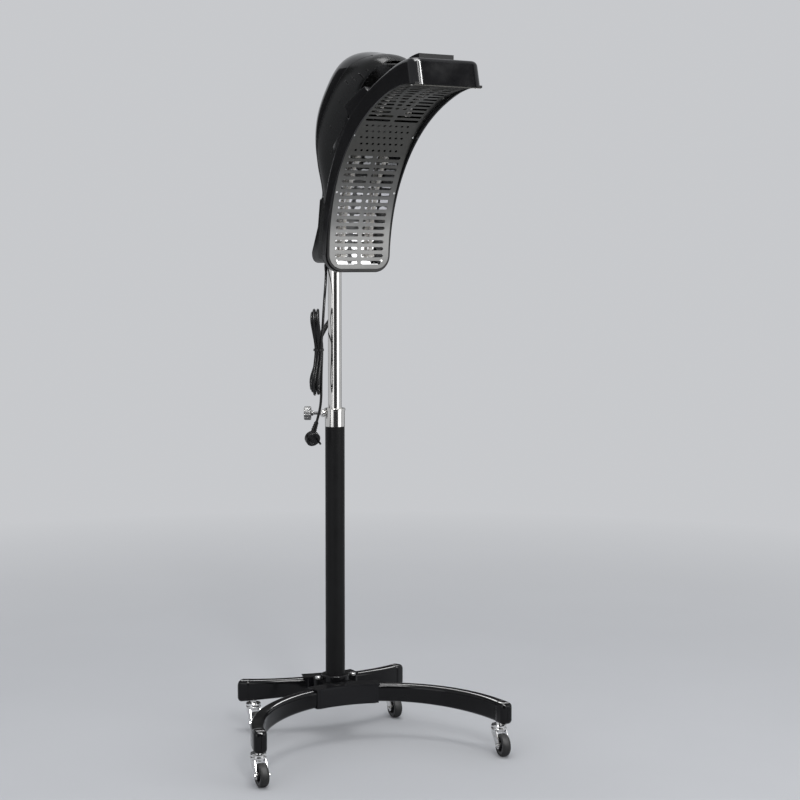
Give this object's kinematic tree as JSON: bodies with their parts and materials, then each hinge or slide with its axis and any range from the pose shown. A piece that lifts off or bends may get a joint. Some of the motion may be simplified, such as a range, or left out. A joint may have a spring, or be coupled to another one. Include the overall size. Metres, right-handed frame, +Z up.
{
  "type": "hair color processor",
  "caption": "Curved radiant heater arc on a swinging rear housing, on a height-adjustable mast with a rolling four-caster base, for hair colouring and perming.",
  "frame": {"origin": "on the floor, under the axis of the mast", "axes": "+Z up along the mast, the client sits in front at -Y, +X across the head"},
  "size_m": [0.5944, 0.6591, 1.5529],
  "materials": {
    "beam_paint": "gloss black",
    "sleeve_plastic": "gloss black",
    "hub_paint": "gloss black",
    "black_tube": "semi-gloss black",
    "bolt_steel": "black oxide",
    "chrome": "polished",
    "caster_chrome": "polished",
    "knob_satin": "satin",
    "nylon": "matte",
    "wheel_plastic": "matte black",
    "tyre_rubber": "matte black",
    "cord_rubber": "semi-matte black",
    "shell_plastic": "gloss black",
    "front_plastic": "semi-gloss black",
    "head_plastic": "gloss black",
    "bracket_steel": "zinc",
    "bearing_steel": "ground",
    "motor_steel": "zinc",
    "gear_plastic": "acetal",
    "board": "circuit board",
    "panel_plastic": "satin",
    "knob_plastic": "satin",
    "rocker_plastic": "gloss",
    "grille_metal": "satin",
    "frame_plastic": "matte black",
    "screw_steel": "bright",
    "reflector_metal": "mirror polished",
    "quartz": "frosted quartz",
    "ceramic": "ceramic"
  },
  "bodies": {
    "base": {"hub": "hub_paint", "hub_bolts": "bolt_steel", "front_beam": "beam_paint", "rear_beam": "beam_paint", "front_sleeve": "sleeve_plastic", "rear_sleeve": "sleeve_plastic", "lower_tube": "black_tube", "clamp_collar": "chrome", "collar_bush": "nylon", "caster_stems": "caster_chrome"},
    "clamp": {"clamp_knob": "knob_satin"},
    "mast": {"upper_tube": "chrome", "mast_guide_bush": "nylon", "cord_gland": "cord_rubber", "power_cord": "cord_rubber", "cord_hank": "cord_rubber", "cord_tie": "cord_rubber", "power_plug": "cord_rubber"},
    "neck": {"neck_socket": "bracket_steel"},
    "housing": {"tilt_pin": "bearing_steel", "front_shell": "front_plastic", "rear_shell": "shell_plastic", "housing_bracket": "bracket_steel", "drive_bearing": "bearing_steel", "drive_motor": "motor_steel", "control_board": "board", "control_panel": "panel_plastic", "timer_body": "gear_plastic"},
    "pinion": {"motor_pinion": "gear_plastic"},
    "timer": {"timer_knob": "knob_plastic"},
    "heat": {"heat_knob": "knob_plastic"},
    "rocker": {"power_rocker": "rocker_plastic"},
    "arc": {"arc_housing": "head_plastic", "end_cover": "head_plastic", "grille": "grille_metal", "grille_frame": "frame_plastic", "grille_screws": "screw_steel", "reflector_lower": "reflector_metal", "reflector_upper": "reflector_metal", "heater_tubes": "quartz", "heater_clips": "ceramic", "drive_shaft": "bearing_steel", "arc_gear": "gear_plastic"},
    "swivel_front_left": {"caster_fork_front_left": "caster_chrome", "caster_axle_front_left": "caster_chrome"},
    "wheel_front_left": {"caster_wheel_front_left": "wheel_plastic", "caster_tyre_front_left": "tyre_rubber"},
    "swivel_front_right": {"caster_fork_front_right": "caster_chrome", "caster_axle_front_right": "caster_chrome"},
    "wheel_front_right": {"caster_wheel_front_right": "wheel_plastic", "caster_tyre_front_right": "tyre_rubber"},
    "swivel_rear_left": {"caster_fork_rear_left": "caster_chrome", "caster_axle_rear_left": "caster_chrome"},
    "wheel_rear_left": {"caster_wheel_rear_left": "wheel_plastic", "caster_tyre_rear_left": "tyre_rubber"},
    "swivel_rear_right": {"caster_fork_rear_right": "caster_chrome", "caster_axle_rear_right": "caster_chrome"},
    "wheel_rear_right": {"caster_wheel_rear_right": "wheel_plastic", "caster_tyre_rear_right": "tyre_rubber"}
  },
  "joints": [
    {"name": "swivel_turn_front_left", "type": "hinge", "parent": "base", "child": "swivel_front_left", "pos_m": [-0.30456, -0.26848, 0.057], "axis": [0, 0, 1], "continuous": true},
    {"name": "wheel_roll_front_left", "type": "hinge", "parent": "swivel_front_left", "child": "wheel_front_left", "pos_m": [-0.30571, -0.29045, 0.025], "axis": [0.9986, -0.0523, 0], "continuous": true},
    {"name": "swivel_turn_front_right", "type": "hinge", "parent": "base", "child": "swivel_front_right", "pos_m": [0.25331, -0.31728, 0.057], "axis": [0, 0, 1], "continuous": true},
    {"name": "wheel_roll_front_right", "type": "hinge", "parent": "swivel_front_right", "child": "wheel_front_right", "pos_m": [0.25063, -0.33912, 0.025], "axis": [0.9925, -0.1219, 0], "continuous": true},
    {"name": "swivel_turn_rear_left", "type": "hinge", "parent": "base", "child": "swivel_rear_left", "pos_m": [-0.16502, 0.09876, 0.057], "axis": [0, 0, 1], "continuous": true},
    {"name": "wheel_roll_rear_left", "type": "hinge", "parent": "swivel_rear_left", "child": "wheel_rear_left", "pos_m": [-0.16694, 0.07684, 0.025], "axis": [0.9962, -0.0872, 0], "continuous": true},
    {"name": "swivel_turn_rear_right", "type": "hinge", "parent": "base", "child": "swivel_rear_right", "pos_m": [0.17966, 0.0686, 0.057], "axis": [0, 0, 1], "continuous": true},
    {"name": "wheel_roll_rear_right", "type": "hinge", "parent": "swivel_rear_right", "child": "wheel_rear_right", "pos_m": [0.17928, 0.04661, 0.025], "axis": [0.9998, -0.0175, 0], "continuous": true},
    {"name": "clamp_turn", "type": "hinge", "parent": "base", "child": "clamp", "pos_m": [0, 0, 0.745], "axis": [-0.887, 0.4617, 0], "range_deg": [0, 720]},
    {"name": "mast_slide", "type": "slide", "parent": "base", "child": "mast", "axis": [0, 0, 1], "range_m": [-0.28, 0.2]},
    {"name": "neck_turn", "type": "hinge", "parent": "mast", "child": "neck", "pos_m": [0, 0, 1.093], "axis": [0, 0, 1], "range_deg": [-90, 90]},
    {"name": "head_tilt", "type": "hinge", "parent": "neck", "child": "housing", "pos_m": [0, 0, 1.115], "axis": [1, 0, 0], "range_deg": [-15, 10]},
    {"name": "arc_swing", "type": "hinge", "parent": "housing", "child": "arc", "pos_m": [0, -0.18182, 1.45238], "axis": [0, 0.6428, 0.766], "range_deg": [-160, 160]},
    {"name": "pinion_spin", "type": "hinge", "parent": "housing", "child": "pinion", "pos_m": [0, -0.13605, 1.43225], "axis": [0, 0.6428, 0.766], "range_deg": [-485, 485]},
    {"name": "timer_turn", "type": "hinge", "parent": "housing", "child": "timer", "pos_m": [0, 0.02807, 1.15733], "axis": [0, 0.87, 0.493], "range_deg": [-300, 0]},
    {"name": "heat_turn", "type": "hinge", "parent": "housing", "child": "heat", "pos_m": [-0.0125, 0.03892, 1.13819], "axis": [0, 0.87, 0.493], "range_deg": [-270, 0]},
    {"name": "rocker_tip", "type": "hinge", "parent": "housing", "child": "rocker", "pos_m": [0.0125, 0.03935, 1.13844], "axis": [1, 0, 0], "range_deg": [-16, 0]}
  ],
  "couplings": [
    {"joint": "pinion_spin", "follows": "arc_swing", "ratio": -3}
  ]
}
